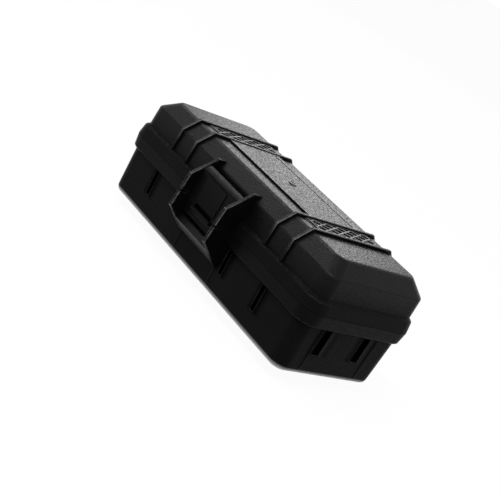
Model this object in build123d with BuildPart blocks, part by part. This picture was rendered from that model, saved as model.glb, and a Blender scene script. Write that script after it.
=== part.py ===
"""A small hinged hard case for an outside micrometer.

Two moulded shells meet at a flared belt. The lid turns on two rear hinges,
and one front lever between guard cheeks holds it shut. Foam fills both halves.

Frame: origin at the centre of the flat underside, X along the length,
-Y towards the latch, +Z up. All sizes are in millimetres.
"""
import os
from build123d import *

os.makedirs("parts", exist_ok=True)

# ---- Driving dimensions: the outer body ------------------------------------
LENGTH = 155.0            # over the belt, along X
DEPTH = 70.0              # over the belt, along Y, without latch and hinge
HEIGHT = 60.0             # underside to the top of the lid's rims
WALL = 2.5

# ---- Heights above the underside -------------------------------------------
Z_BODY = 5.0              # bottom of the walls, above the foot plate
Z_FLOOR = 7.5             # inside floor round the sunken foot
Z_BELT_LOW = 28.2         # the belt steps out of the base wall here
Z_BELT_LOW_FACE = 29.6
Z_PART = 35.6             # parting plane between base and lid, and hinge height
Z_BELT_TOP_FACE = 40.7
Z_BELT_TOP = 42.1         # the belt steps back into the lid wall here
Z_CHAMFER = 52.0
RIM_PROUD = 1.4           # how far the rims stand out of the lid
Z_TOP = HEIGHT - RIM_PROUD
PART_GAP = 0.16           # hairline between the closed shells
CAVITY_OVERRUN = 1.0      # the cavities are cut this far past the parting plane
CAVITY_BEND = 1.0         # the lid's inside bends this far below its outside
TOP_WALL_SHARE = 0.6      # inset of the lid's inside at the top, as a share of the wall

# ---- Plan sizes, as insets from the belt's widest line ---------------------
BELT_FLARE = 0.8          # belt face to its widest line
BELT_STEP = 1.8           # wall to belt face
DRAFT = 1.5               # base's front and rear walls, over their height; the ends are upright
LID_DRAFT = 0.2
CHAMFER_RUN = 6.3         # the lid's sloping shoulder, in plan
WALL_RADIUS = 6.5         # plan radius of the wall corners
TOP_RADIUS = 5.0
BOTTOM_ROUND = 3.0
FOOT_INSET = 13.0
FOOT_RADIUS = 7.0
PLATE_BURIED = 0.3        # how deep a raised plate's root sits in the wall it stands on
FOOT_CHAMFER = 0.6
EDGE_ROUND = 0.7          # belt edges
EDGE_BAND = 0.1           # an edge is picked out within this much of its height
SHOULDER_ROUND = 1.5      # where the lid wall turns into the shoulder
TOP_ROUND = 2.4           # where the shoulder turns into the top

# ---- Lid rims, panel and tread strips --------------------------------------
RIM_X = (34.4, 47.2)      # rim centre lines, mirrored about X = 0
RIM_WIDTH = 1.4
RIM_FOOT_Z = 40.9         # the rims die into the belt here
RIM_BEND_SHIFT = 0.6      # rim bends, out from the lid's own bends
RIM_CORNER = 1.2
RIM_ROUND = 0.35
PANEL_RISE = 0.9
PANEL_HALF_DEPTH = 16.2
PANEL_LINE_Y = 13.0       # a fine groove across the panel, near its rear edge
PANEL_LINE_WIDTH = 1.3
PANEL_LINE_DEPTH = 0.55
STRIP_HALF_LENGTH = 20.5
STRIP_POCKET = 0.7
STRIP_THICK = 1.3
STRIP_CHAMFER = 0.25
FIT_GAP = 0.1             # loose fit of an inlay or a foam piece

# ---- Recesses and low ribs moulded in the base walls -------------------------
SLOT_X = (-48.2, 19.5, 46.6)
SLOT_SIZE = (2.6, 12.4)   # width, height
END_RECESS_Y = (-14.6, 10.9)
END_RECESS_SIZE = (4.8, 12.4)
RECESS_DEPTH = 1.7
WALL_RIB_X = 15.0         # front and rear ribs, mirrored
WALL_RIB_Y = 18.0         # end ribs, mirrored
WALL_RIB_WIDTH = 1.5
WALL_RIB_PROUD = 0.35
WALL_RIB_ROUND = 0.25
WALL_RIB_SINK = 1.0       # the ribs' feet are rounder than the shell and fade into it
RIB_EDGE_MIN = 10.0       # shorter edges of a rib aren't rounded

# ---- Rear hinges ------------------------------------------------------------
HINGE_X = 42.0            # station centres, mirrored
HINGE_OFFSET = 0.3        # axis behind the belt
KNUCKLE_RADIUS = 2.0
KNUCKLE_CLEARANCE = 0.3
LID_KNUCKLE = 11.4
BASE_KNUCKLE = 6.0
PIN_RADIUS = 1.0
PIN_CHAMFER = 0.2
FIXED_PIN_GAP = 0.02      # pin in the holes that hold it
RUNNING_GAP = 0.08        # pin in the holes that turn

# ---- Latch: guard cheeks, lever, catch -------------------------------------
GUARD_INSIDE = 14.2       # half the gap between the cheeks
GUARD_THICK = 1.8
GUARD_OUTSIDE = GUARD_INSIDE + GUARD_THICK
GUARD_ROUND = 0.5
GUARD_TOP_CLEAR = -31.5   # in front of this the cheeks stand free
GUARD_OUTLINE = [(-34.2, 54.9), (-44.8, 44.8), (-46.0, 27.2), (-31.8, 15.8)]
CHIN_OUTLINE = [(-30.9, 16.0), (-32.2, 16.5), (-39.6, 22.4), (-37.8, 25.2), (-33.6, 28.0), (-30.9, 28.0)]
LEVER_HALF_WIDTH = 13.8
LEVER_ROUND = 0.4
LEVER_FRONT_EDGES = -39.3  # edges in front of this are rounded
LEVER_PIVOT = (-37.2, 47.4)
LEVER_BARREL = 2.5
LEVER_PIN_END = 15.1      # the pin goes in from the left and stops inside the right cheek
LEVER_OUTLINE = [
    (-36.2, 49.8), (-36.9, 51.2), (-39.9, 49.0), (-40.2, 33.4), (-38.8, 29.6),
    (-38.6, 27.4), (-37.4, 27.4), (-37.6, 45.0),
]
PAD_HALF_WIDTH = 7.4
PAD_LEVELS = (35.2, 48.0)
PAD_PROUD = 0.4
PAD_LEAN = 0.2
LEVER_BURIED = 0.8        # how deep the pad roots in the lever
LOW_ROOT = -38.2          # where the lip and the hook root in the lever
LIP_SLOPE = 0.6
LIP_LEVELS = (31.1, 33.0)
LIP_PROUD = 1.1
LEVER_SLOT_LEVELS = (33.0, 35.2)
LEVER_SLOT_HALF_WIDTH = 6.7
LEVER_SLOT_DEPTH = 1.4
CATCH_HALF_WIDTH = 9.0
CATCH_LEVELS = (30.2, 32.6)
CATCH_FRONT = -36.2
CATCH_SLOPE = 0.8
CHEEK_TOP_LEAN = 2.6      # the cheek's root follows the lid's shoulder
HOOK_FRONT_GAP = 0.3      # the shut hook stands this far in front of the catch
HOOK_LEVELS = (27.6, 29.9)

# ---- Seal --------------------------------------------------------------------
SEAL_INSETS = (2.4, 4.0)  # groove walls, in from the belt's widest line
GROOVE_DEPTH = 2.0
SEAL_HEIGHT = 1.3
SEAL_GAP = 0.05
TONGUE_HEIGHT = 0.55
TONGUE_SIDE_GAP = 0.3

# ---- Foam --------------------------------------------------------------------
FOAM_FLOOR = 5.0
FOAM_GAP = 0.3            # slack round a foam piece
TRAY_TOP = 34.0
LID_FOAM_BOTTOM = 37.5
BARREL_Y = 13.0           # micrometer barrel channel centre
BARREL_HALF = (67.0, 10.5)
BARREL_CORNER = 5.0
BOW_CENTRE = (-38.0, 0.5)
BOW_RADIUS = 24.5

half_length = LENGTH / 2
half_depth = DEPTH / 2
wall_inset = BELT_FLARE + BELT_STEP
hinge_y = half_depth + HINGE_OFFSET


def section(z, inset, radius, draft=0.0):
    """A rounded rectangle at height z, set in from the belt's widest line.

    The draft moves the front and rear walls in, on top of the inset.
    """
    with BuildSketch(Plane.XY.offset(z)) as outline:
        RectangleRounded(2 * (half_length - inset), 2 * (half_depth - inset - draft), radius)
    return outline.sketch


def ring(z, outer, inner):
    """The flat ring between two insets at height z."""
    with BuildSketch(Plane.XY.offset(z)) as outline:
        RectangleRounded(
            2 * (half_length - outer), 2 * (half_depth - outer), WALL_RADIUS + wall_inset - outer
        )
        RectangleRounded(
            2 * (half_length - inner),
            2 * (half_depth - inner),
            WALL_RADIUS + wall_inset - inner,
            mode=Mode.SUBTRACT,
        )
    return outline.sketch


def wall_band(depth):
    """Two sections of the base's wall from its foot to the belt, moved in by depth."""
    return [
        section(Z_BODY + PLATE_BURIED, wall_inset + depth, WALL_RADIUS - depth, DRAFT),
        section(Z_BELT_LOW_FACE, wall_inset + depth, WALL_RADIUS - depth),
    ]


def side_profile(x, points, corner=0.0):
    """A closed outline of (y, z) points in the plane across the case at x."""
    with BuildSketch(Plane.YZ.offset(x)) as outline:
        with BuildLine():
            Polyline(*points, close=True)
        make_face()
        if corner:
            fillet(outline.vertices(), corner)
    return outline.sketch


def disc(x, centre, radius):
    """A circle about a cross-wise axis, in the plane at x."""
    with BuildSketch(Plane.YZ.offset(x)) as outline:
        with Locations(centre):
            Circle(radius)
    return outline.sketch


def front_edges(cheek):
    """The outline edges of a guard cheek that stand clear of the wall."""
    clear = cheek.edges().filter_by(lambda edge: edge.center().Y < GUARD_TOP_CLEAR)
    return clear.filter_by(Axis.X, reverse=True).filter_by(lambda edge: edge.length > 2 * GUARD_THICK)


def on_wall(edge):
    """True where an edge lies at or beyond the foot of the base's outer wall."""
    beyond_end = abs(edge.center().X) > half_length - wall_inset
    return beyond_end or abs(edge.center().Y) > half_depth - wall_inset - DRAFT


def crest_edges(ribs):
    """The long upright edges along the crests of the wall ribs."""
    return ribs.edges().filter_by(on_wall).filter_by(lambda edge: edge.length > RIB_EDGE_MIN)


def edges_at(shell, level):
    """The edges of a shell that lie all the way round it at one height."""
    return shell.edges().filter_by_position(Axis.Z, level - EDGE_BAND, level + EDGE_BAND)


def slope(level, low, high):
    """Linear interpolation of y between two (y, z) points at height level."""
    return low[0] + (level - low[1]) / (high[1] - low[1]) * (high[0] - low[0])


# ---- Sections shared by the shells -------------------------------------------
base_sections = [
    section(Z_BODY, wall_inset, WALL_RADIUS, DRAFT),
    section(Z_BELT_LOW, wall_inset, WALL_RADIUS),
    section(Z_BELT_LOW_FACE, BELT_FLARE, WALL_RADIUS + BELT_STEP),
    section(Z_PART - PART_GAP / 2, 0, WALL_RADIUS + wall_inset),
]
base_cavity = [
    section(Z_FLOOR, wall_inset + WALL, WALL_RADIUS - WALL, DRAFT),
    section(Z_PART + CAVITY_OVERRUN, wall_inset + WALL, WALL_RADIUS - WALL),
]
lid_wall_inset = wall_inset + LID_DRAFT
lid_top_inset = lid_wall_inset + CHAMFER_RUN
lid_sections = [
    section(Z_PART + PART_GAP / 2, 0, WALL_RADIUS + wall_inset),
    section(Z_BELT_TOP_FACE, BELT_FLARE, WALL_RADIUS + BELT_STEP),
    section(Z_BELT_TOP, wall_inset, WALL_RADIUS),
    section(Z_CHAMFER, lid_wall_inset, WALL_RADIUS),
    section(Z_TOP, lid_top_inset, TOP_RADIUS),
]
top_inset = WALL * TOP_WALL_SHARE
lid_cavity = [
    section(Z_PART - CAVITY_OVERRUN, wall_inset + WALL, WALL_RADIUS - WALL),
    section(Z_CHAMFER - CAVITY_BEND, lid_wall_inset + WALL, WALL_RADIUS - WALL),
    section(Z_TOP - WALL, lid_top_inset + top_inset, TOP_RADIUS - top_inset),
]

# ---- Outlines shared by the latch and hinge features --------------------------
base_split = Z_PART - PART_GAP / 2
lid_split = Z_PART + PART_GAP / 2
buried_y = -(half_depth - wall_inset - WALL / 2)    # inside the front wall's thickness
guard_top, guard_brow, guard_front, guard_low = GUARD_OUTLINE
guard_split_y = slope(Z_PART, guard_front, guard_brow)
base_cheek_outline = [
    (buried_y, base_split), (guard_split_y, base_split), guard_front, guard_low,
    (buried_y, guard_low[1]),
]
lid_cheek_outline = [
    (buried_y, lid_split), (guard_split_y, lid_split), guard_brow, guard_top,
    (buried_y + CHEEK_TOP_LEAN, guard_top[1]), (buried_y, Z_CHAMFER - CAVITY_BEND),
]
catch_outline = [
    (buried_y, CATCH_LEVELS[0]), (CATCH_FRONT, CATCH_LEVELS[0]),
    (CATCH_FRONT, CATCH_LEVELS[1] - CATCH_SLOPE), (buried_y, CATCH_LEVELS[1]),
]
web_back_y = hinge_y + KNUCKLE_RADIUS
web_root_y = half_depth - BELT_STEP
belt_face_y = half_depth - BELT_FLARE
base_web = [
    (web_root_y, base_split), (web_back_y, base_split),
    (belt_face_y, Z_BELT_LOW_FACE), (web_root_y, Z_BELT_LOW_FACE),
]
lid_web = [
    (web_root_y, lid_split), (web_back_y, lid_split),
    (belt_face_y, Z_BELT_TOP_FACE), (web_root_y, Z_BELT_TOP_FACE),
]
hinge_axis = (hinge_y, Z_PART)
knuckle_split = LID_KNUCKLE / 2 + KNUCKLE_CLEARANCE
station_half = knuckle_split + BASE_KNUCKLE

# ---- Moulded features, made once and repeated on the shells ----------------------
with BuildPart() as base_cheek:
    extrude(side_profile(0, base_cheek_outline), amount=GUARD_THICK)
    fillet(front_edges(base_cheek), GUARD_ROUND)

with BuildPart() as lid_cheek:
    extrude(side_profile(0, lid_cheek_outline), amount=GUARD_THICK)
    fillet(front_edges(lid_cheek), GUARD_ROUND)

with BuildPart() as base_hollow:
    loft(sections=base_cavity, ruled=True)
    fillet(base_hollow.edges().group_by(Axis.Z)[0], BOTTOM_ROUND - WALL)
    # the floor sinks into the foot
    extrude(
        section(WALL, wall_inset + FOOT_INSET + WALL, FOOT_RADIUS - WALL, DRAFT), amount=Z_FLOOR - WALL
    )

# slabs across the case that pick the ribs out of a band round the wall
rib_height = Z_BELT_LOW + CAVITY_OVERRUN
with BuildPart() as rib_slabs:
    with Locations(*[(side * WALL_RIB_X, 0, rib_height / 2) for side in (-1, 1)]):
        Box(WALL_RIB_WIDTH, DEPTH, rib_height)
    with Locations(*[(0, side * WALL_RIB_Y, rib_height / 2) for side in (-1, 1)]):
        Box(LENGTH, WALL_RIB_WIDTH, rib_height)

with BuildPart() as wall_ribs:
    loft(sections=wall_band(-WALL_RIB_PROUD), ruled=True)
    fillet(wall_ribs.edges().group_by(Axis.Z)[0], BOTTOM_ROUND + WALL_RIB_SINK)
    add(rib_slabs.part, mode=Mode.INTERSECT)
    fillet(crest_edges(wall_ribs), WALL_RIB_ROUND)

# boxes through the walls, less the wall's inner layer, leave recesses of even depth
slot_z = Z_BELT_LOW - SLOT_SIZE[1] / 2
with BuildPart() as recesses:
    with Locations(*[(x, 0, slot_z) for x in SLOT_X]):
        Box(SLOT_SIZE[0], DEPTH, SLOT_SIZE[1])
    with Locations(*[(0, y, slot_z) for y in END_RECESS_Y]):
        Box(LENGTH, *END_RECESS_SIZE)
    loft(sections=wall_band(RECESS_DEPTH), ruled=True, mode=Mode.SUBTRACT)

# ---- Base shell ----------------------------------------------------------------
with BuildPart() as base_shell:
    loft(sections=base_sections, ruled=True)
    fillet(base_shell.edges().group_by(Axis.Z)[0], BOTTOM_ROUND)
    fillet(edges_at(base_shell, Z_BELT_LOW_FACE), EDGE_ROUND)
    add(wall_ribs.part)
    # shallow foot drawn out of the floor
    extrude(section(0, wall_inset + FOOT_INSET, FOOT_RADIUS, DRAFT), amount=Z_BODY + PLATE_BURIED)
    chamfer(base_shell.edges().group_by(Axis.Z)[0], FOOT_CHAMFER)
    # guard cheeks, the chin between them and the catch on the belt
    with Locations((-GUARD_OUTSIDE, 0, 0), (GUARD_INSIDE, 0, 0)):
        add(base_cheek.part)
    extrude(side_profile(-GUARD_INSIDE, CHIN_OUTLINE), amount=2 * GUARD_INSIDE)
    extrude(side_profile(-CATCH_HALF_WIDTH, catch_outline), amount=2 * CATCH_HALF_WIDTH)
    # hinge brackets with a knuckle at each end, notched for the lid's knuckle
    for station in (-HINGE_X, HINGE_X):
        extrude(side_profile(station - station_half, base_web), amount=2 * station_half)
        extrude(disc(station - station_half, hinge_axis, KNUCKLE_RADIUS), amount=2 * station_half)
        extrude(
            disc(station - knuckle_split, hinge_axis, KNUCKLE_RADIUS + KNUCKLE_CLEARANCE),
            amount=2 * knuckle_split,
            mode=Mode.SUBTRACT,
        )
        extrude(
            disc(station - station_half, hinge_axis, PIN_RADIUS + FIXED_PIN_GAP),
            amount=2 * station_half,
            mode=Mode.SUBTRACT,
        )
    # cavity, with the tongue that presses the seal left standing on the belt
    add(base_hollow.part, mode=Mode.SUBTRACT)
    extrude(
        ring(base_split, SEAL_INSETS[0] + TONGUE_SIDE_GAP, SEAL_INSETS[1] - TONGUE_SIDE_GAP),
        amount=TONGUE_HEIGHT,
    )
    # narrow recesses in the front and rear walls, larger ones in the ends
    add(recesses.part, mode=Mode.SUBTRACT)
base_shell.part.label = "base_shell"
export_step(base_shell.part, "parts/base_shell.step")

# ---- Lid shell -------------------------------------------------------------------
wall_face_y = half_depth - lid_wall_inset
top_edge_y = half_depth - lid_top_inset
rim_outline = [
    (-(wall_face_y + RIM_PROUD), RIM_FOOT_Z), (-(wall_face_y + RIM_PROUD), Z_CHAMFER + RIM_BEND_SHIFT),
    (-(top_edge_y + RIM_BEND_SHIFT), HEIGHT), (top_edge_y + RIM_BEND_SHIFT, HEIGHT),
    (wall_face_y + RIM_PROUD, Z_CHAMFER + RIM_BEND_SHIFT), (wall_face_y + RIM_PROUD, RIM_FOOT_Z),
]
strip_centre = (RIM_X[0] + RIM_X[1]) / 2
strip_width = RIM_X[1] - RIM_X[0] - RIM_WIDTH
pivot_bore = PIN_RADIUS + FIXED_PIN_GAP

with BuildPart() as rim_arch:
    extrude(side_profile(-RIM_WIDTH / 2, rim_outline, RIM_CORNER), amount=RIM_WIDTH)
    arch_edges = rim_arch.faces().filter_by(Axis.X).edges()
    fillet(arch_edges.filter_by(lambda edge: edge.center().Z > RIM_FOOT_Z + EDGE_BAND), RIM_ROUND)

with BuildPart() as lid_shell:
    loft(sections=lid_sections, ruled=True)
    fillet(edges_at(lid_shell, Z_CHAMFER), SHOULDER_ROUND)
    fillet(lid_shell.edges().group_by(Axis.Z)[-1], TOP_ROUND)
    fillet(edges_at(lid_shell, Z_BELT_TOP_FACE), EDGE_ROUND)
    # four rims over the lid, each an arch from belt to belt
    with Locations(*[(x, 0, 0) for x in (-RIM_X[1], -RIM_X[0], RIM_X[0], RIM_X[1])]):
        add(rim_arch.part)
    # raised panel between the inner rims
    with BuildSketch(Plane.XY.offset(Z_TOP - PLATE_BURIED)):
        Rectangle(2 * RIM_X[0], 2 * PANEL_HALF_DEPTH)
    extrude(amount=PANEL_RISE + PLATE_BURIED)
    with BuildSketch(Plane.XY.offset(Z_TOP + PANEL_RISE)):
        with Locations((0, PANEL_LINE_Y)):
            Rectangle(2 * RIM_X[0] - RIM_WIDTH, PANEL_LINE_WIDTH)
    extrude(amount=-PANEL_LINE_DEPTH, mode=Mode.SUBTRACT)
    # hinge brackets, each with one knuckle in the middle
    for station in (-HINGE_X, HINGE_X):
        extrude(side_profile(station - station_half, lid_web), amount=2 * station_half)
        extrude(disc(station - LID_KNUCKLE / 2, hinge_axis, KNUCKLE_RADIUS), amount=LID_KNUCKLE)
    # upper guard cheeks
    with Locations((-GUARD_OUTSIDE, 0, 0), (GUARD_INSIDE, 0, 0)):
        add(lid_cheek.part)
    # cavity, cleared through the wall and the rims' inner part
    loft(sections=lid_cavity, ruled=True, mode=Mode.SUBTRACT)
    # notches for the base's knuckles, and the pin holes
    for station in (-HINGE_X, HINGE_X):
        for left in (station - station_half - KNUCKLE_CLEARANCE, station + LID_KNUCKLE / 2):
            extrude(
                disc(left, hinge_axis, KNUCKLE_RADIUS + KNUCKLE_CLEARANCE),
                amount=BASE_KNUCKLE + 2 * KNUCKLE_CLEARANCE,
                mode=Mode.SUBTRACT,
            )
        extrude(
            disc(station - station_half, hinge_axis, PIN_RADIUS + RUNNING_GAP),
            amount=2 * station_half,
            mode=Mode.SUBTRACT,
        )
    extrude(
        disc(-GUARD_OUTSIDE, LEVER_PIVOT, pivot_bore),
        amount=GUARD_OUTSIDE + LEVER_PIN_END + FIXED_PIN_GAP,
        mode=Mode.SUBTRACT,
    )
    # seal groove round the underside
    extrude(ring(lid_split, *SEAL_INSETS), amount=GROOVE_DEPTH, mode=Mode.SUBTRACT)
    # shallow pockets that hold the tread strips
    for x in (-strip_centre, strip_centre):
        with BuildSketch(Plane.XY.offset(Z_TOP)):
            with Locations((x, 0)):
                Rectangle(strip_width, 2 * STRIP_HALF_LENGTH)
        extrude(amount=-STRIP_POCKET, mode=Mode.SUBTRACT)
lid_shell.part.label = "lid_shell"
export_step(lid_shell.part, "parts/lid_shell.step")

# ---- Rim seal, held in the lid's groove ------------------------------------------
with BuildPart() as rim_seal:
    extrude(
        ring(lid_split + GROOVE_DEPTH - SEAL_HEIGHT, SEAL_INSETS[0] + SEAL_GAP, SEAL_INSETS[1] - SEAL_GAP),
        amount=SEAL_HEIGHT,
    )
rim_seal.part.label = "rim_seal"
export_step(rim_seal.part, "parts/rim_seal.step")

# ---- Hinge pins --------------------------------------------------------------------
for name, station in (("hinge_pin_left", -HINGE_X), ("hinge_pin_right", HINGE_X)):
    with BuildPart() as hinge_pin:
        extrude(disc(station - station_half, hinge_axis, PIN_RADIUS), amount=2 * station_half)
        chamfer(hinge_pin.edges(), PIN_CHAMFER)
    hinge_pin.part.label = name
    export_step(hinge_pin.part, f"parts/{name}.step")

# ---- Latch pin ---------------------------------------------------------------------
with BuildPart() as latch_pin:
    extrude(disc(-GUARD_OUTSIDE, LEVER_PIVOT, PIN_RADIUS), amount=GUARD_OUTSIDE + LEVER_PIN_END)
    chamfer(latch_pin.edges(), PIN_CHAMFER)
latch_pin.part.label = "latch_pin"
export_step(latch_pin.part, "parts/latch_pin.step")

# ---- Latch lever -------------------------------------------------------------------
lever_front = LEVER_OUTLINE[3][0]
lever_core = lever_front + LEVER_BURIED
pad_front = lever_front - PAD_PROUD
lip_front = lever_front - LIP_PROUD
pad_outline = [
    (lever_core, PAD_LEVELS[0]), (pad_front, PAD_LEVELS[0]),
    (pad_front + PAD_LEAN, PAD_LEVELS[1] - PAD_LEAN), (lever_core, PAD_LEVELS[1]),
]
lip_outline = [
    (LOW_ROOT, LIP_LEVELS[0]), (lip_front, LIP_LEVELS[0] + LIP_SLOPE),
    (lip_front, LIP_LEVELS[1]), (LOW_ROOT, LIP_LEVELS[1]),
]
hook_front = CATCH_FRONT - HOOK_FRONT_GAP
hook_outline = [
    (LOW_ROOT, HOOK_LEVELS[0]), (hook_front, HOOK_LEVELS[0] + LIP_SLOPE),
    (hook_front, HOOK_LEVELS[1]), (LOW_ROOT, HOOK_LEVELS[1]),
]
slot_outline = [
    (lip_front, LEVER_SLOT_LEVELS[0]), (lip_front, LEVER_SLOT_LEVELS[1]),
    (lever_front + LEVER_SLOT_DEPTH, LEVER_SLOT_LEVELS[1]),
    (lever_front + LEVER_SLOT_DEPTH, LEVER_SLOT_LEVELS[0]),
]
with BuildPart() as latch_lever:
    extrude(side_profile(-LEVER_HALF_WIDTH, LEVER_OUTLINE), amount=2 * LEVER_HALF_WIDTH)
    fillet(latch_lever.edges().filter_by(lambda edge: edge.center().Y < LEVER_FRONT_EDGES), LEVER_ROUND)
    extrude(disc(-LEVER_HALF_WIDTH, LEVER_PIVOT, LEVER_BARREL), amount=2 * LEVER_HALF_WIDTH)
    extrude(side_profile(-PAD_HALF_WIDTH, pad_outline), amount=2 * PAD_HALF_WIDTH)
    extrude(side_profile(-PAD_HALF_WIDTH, lip_outline), amount=2 * PAD_HALF_WIDTH)
    extrude(side_profile(-CATCH_HALF_WIDTH, hook_outline), amount=2 * CATCH_HALF_WIDTH)
    extrude(
        side_profile(-LEVER_SLOT_HALF_WIDTH, slot_outline),
        amount=2 * LEVER_SLOT_HALF_WIDTH,
        mode=Mode.SUBTRACT,
    )
    extrude(
        disc(-LEVER_HALF_WIDTH, LEVER_PIVOT, PIN_RADIUS + RUNNING_GAP),
        amount=2 * LEVER_HALF_WIDTH,
        mode=Mode.SUBTRACT,
    )
latch_lever.part.label = "latch_lever"
export_step(latch_lever.part, "parts/latch_lever.step")

# ---- Tread strips, laid in the pockets between the rims ----------------------------
for name, x in (("tread_strip_left", -strip_centre), ("tread_strip_right", strip_centre)):
    with BuildPart() as tread_strip:
        with BuildSketch(Plane.XY.offset(Z_TOP - STRIP_POCKET)):
            with Locations((x, 0)):
                Rectangle(strip_width - 2 * FIT_GAP, 2 * (STRIP_HALF_LENGTH - FIT_GAP))
        extrude(amount=STRIP_THICK)
        chamfer(tread_strip.edges().group_by(Axis.Z)[-1], STRIP_CHAMFER)
    tread_strip.part.label = name
    export_step(tread_strip.part, f"parts/{name}.step")

# ---- Foam --------------------------------------------------------------------------
foam_inset = wall_inset + WALL + FOAM_GAP
foam_radius = WALL_RADIUS - WALL - FOAM_GAP

with BuildPart() as foam_floor:
    extrude(section(Z_FLOOR, foam_inset, foam_radius, DRAFT), amount=FOAM_FLOOR)
    fillet(foam_floor.edges().group_by(Axis.Z)[0], BOTTOM_ROUND - WALL)
    # the part that fills the sunken foot
    extrude(
        section(WALL, foam_inset + FOOT_INSET, FOOT_RADIUS - WALL - FOAM_GAP, DRAFT),
        amount=Z_FLOOR - WALL,
    )
foam_floor.part.label = "foam_floor"
export_step(foam_floor.part, "parts/foam_floor.step")

tray_bottom = Z_FLOOR + FOAM_FLOOR
with BuildPart() as foam_tray:
    extrude(section(tray_bottom, foam_inset, foam_radius, DRAFT), amount=TRAY_TOP - tray_bottom)
    # pocket in a micrometer's outline: the straight barrel channel and the round bow
    with BuildSketch(Plane.XY.offset(TRAY_TOP)) as pocket:
        with Locations((0, BARREL_Y)):
            RectangleRounded(2 * BARREL_HALF[0], 2 * BARREL_HALF[1], BARREL_CORNER)
        with Locations(BOW_CENTRE):
            Circle(BOW_RADIUS)
    extrude(amount=tray_bottom - TRAY_TOP, mode=Mode.SUBTRACT)
foam_tray.part.label = "foam_tray"
export_step(foam_tray.part, "parts/foam_tray.step")

lid_foam_inset = lid_wall_inset + WALL + FOAM_GAP
with BuildPart() as lid_foam:
    loft(
        sections=[
            section(LID_FOAM_BOTTOM, lid_foam_inset, WALL_RADIUS - WALL - FOAM_GAP),
            section(Z_CHAMFER - CAVITY_BEND, lid_foam_inset, WALL_RADIUS - WALL - FOAM_GAP),
            section(Z_TOP - WALL, lid_top_inset + top_inset + FOAM_GAP, TOP_RADIUS - top_inset - FOAM_GAP),
        ],
        ruled=True,
    )
lid_foam.part.label = "lid_foam"
export_step(lid_foam.part, "parts/lid_foam.step")
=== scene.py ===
# %% [markdown]
# # Dressing a small micrometer case
# The case itself is already modelled as solids: two plastic shells, a lever latch, pins, a seal and
# foam. This notebook loads them as a fixed frame and adds what solids alone can't show: the grain of
# the plastic, the raised tread on the lid, soft foam inside, and the light of a product table.

import bpy
import numpy as np
from mathutils import Matrix, Vector


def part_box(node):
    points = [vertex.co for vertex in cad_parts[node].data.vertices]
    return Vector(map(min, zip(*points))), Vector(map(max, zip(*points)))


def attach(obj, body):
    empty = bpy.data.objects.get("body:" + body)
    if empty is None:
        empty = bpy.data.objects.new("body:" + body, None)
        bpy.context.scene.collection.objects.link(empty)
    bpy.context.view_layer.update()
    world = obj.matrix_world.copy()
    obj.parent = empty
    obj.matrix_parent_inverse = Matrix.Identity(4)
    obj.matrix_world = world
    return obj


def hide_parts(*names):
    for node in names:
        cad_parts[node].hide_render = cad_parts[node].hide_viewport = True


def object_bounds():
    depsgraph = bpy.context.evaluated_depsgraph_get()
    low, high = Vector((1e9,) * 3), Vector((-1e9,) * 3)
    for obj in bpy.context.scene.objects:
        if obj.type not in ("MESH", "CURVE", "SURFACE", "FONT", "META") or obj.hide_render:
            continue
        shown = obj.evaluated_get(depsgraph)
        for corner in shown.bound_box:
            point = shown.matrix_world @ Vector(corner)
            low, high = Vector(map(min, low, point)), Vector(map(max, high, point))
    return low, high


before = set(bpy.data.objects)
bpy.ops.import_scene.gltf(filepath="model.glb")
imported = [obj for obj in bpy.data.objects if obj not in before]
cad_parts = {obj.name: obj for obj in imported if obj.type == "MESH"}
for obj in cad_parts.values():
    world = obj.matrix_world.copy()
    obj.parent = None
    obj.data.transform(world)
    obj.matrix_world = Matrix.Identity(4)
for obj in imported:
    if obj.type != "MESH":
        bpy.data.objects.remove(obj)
cad_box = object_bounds()
MM = 0.001

# %% [markdown]
# ## The camera
# A small case is usually taken from about half a metre with a long lens, so that its sides stay
# nearly parallel. The camera looks from the front right and a little above. It is rolled, so the case
# lies across the picture's diagonal. A camera looks down its own -Z, so its axes are built from the
# viewing direction and the direction that is up in the picture. The Standard view transform shows each
# colour as it is worked out, with no film curve over it.

# %% Place the camera
EYE = Vector((0.36451, -0.39369, 0.18206))
LOOK = Vector((-0.65235, 0.70185, -0.28610)).normalized()
PICTURE_UP = Vector((-0.55064, -0.17909, 0.81531))
LENS_MM, SENSOR_MM = 86.47, 36.0
NEAREST, FARTHEST = 0.01, 30.0


def put_in_scene(name, data):
    """A new object for a mesh, a camera or a lamp, linked to the scene."""
    thing = bpy.data.objects.new(name, data)
    bpy.context.scene.collection.objects.link(thing)
    return thing


def place_camera(eye, look, picture_up):
    """A camera at eye that looks along look, with picture_up at the top of the frame."""
    data = bpy.data.cameras.new("camera")
    data.lens, data.sensor_width = LENS_MM, SENSOR_MM
    data.clip_start, data.clip_end = NEAREST, FARTHEST
    camera = put_in_scene("camera", data)
    right = look.cross(picture_up).normalized()
    turn = Matrix((right, right.cross(look), -look)).transposed().to_4x4()
    camera.matrix_world = Matrix.Translation(eye) @ turn
    return camera


bpy.context.scene.camera = place_camera(EYE, LOOK, PICTURE_UP)
bpy.context.scene.view_settings.view_transform = "Standard"
print("camera: lens", LENS_MM, "mm,", round(EYE.length, 3), "m from the case")

# %% [markdown]
# ## Building a surface from rows of points
# Every new piece here is one surface, worked out with numpy as a stack of closed loops: row after row
# of points, each row going once round the piece. Helpers join neighbouring rows with four-sided
# faces. Where the piece ends in a pole, one more point closes it with a fan, and where the rows come
# back to the start, as on a block with a hole through it, the last row joins the first.


# %% Helpers that turn rows into a mesh
def loop_faces(rows, count, wrap):
    """Four-sided faces between row r and row r + 1, and between point c and point c + 1 of a row."""
    r = np.arange(rows if wrap else rows - 1)[:, None]
    c = np.arange(count)[None, :]
    after, beside = (r + 1) % rows, (c + 1) % count
    quads = np.stack([r * count + c, r * count + beside, after * count + beside, after * count + c], -1)
    return quads.reshape(-1, 4)


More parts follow.
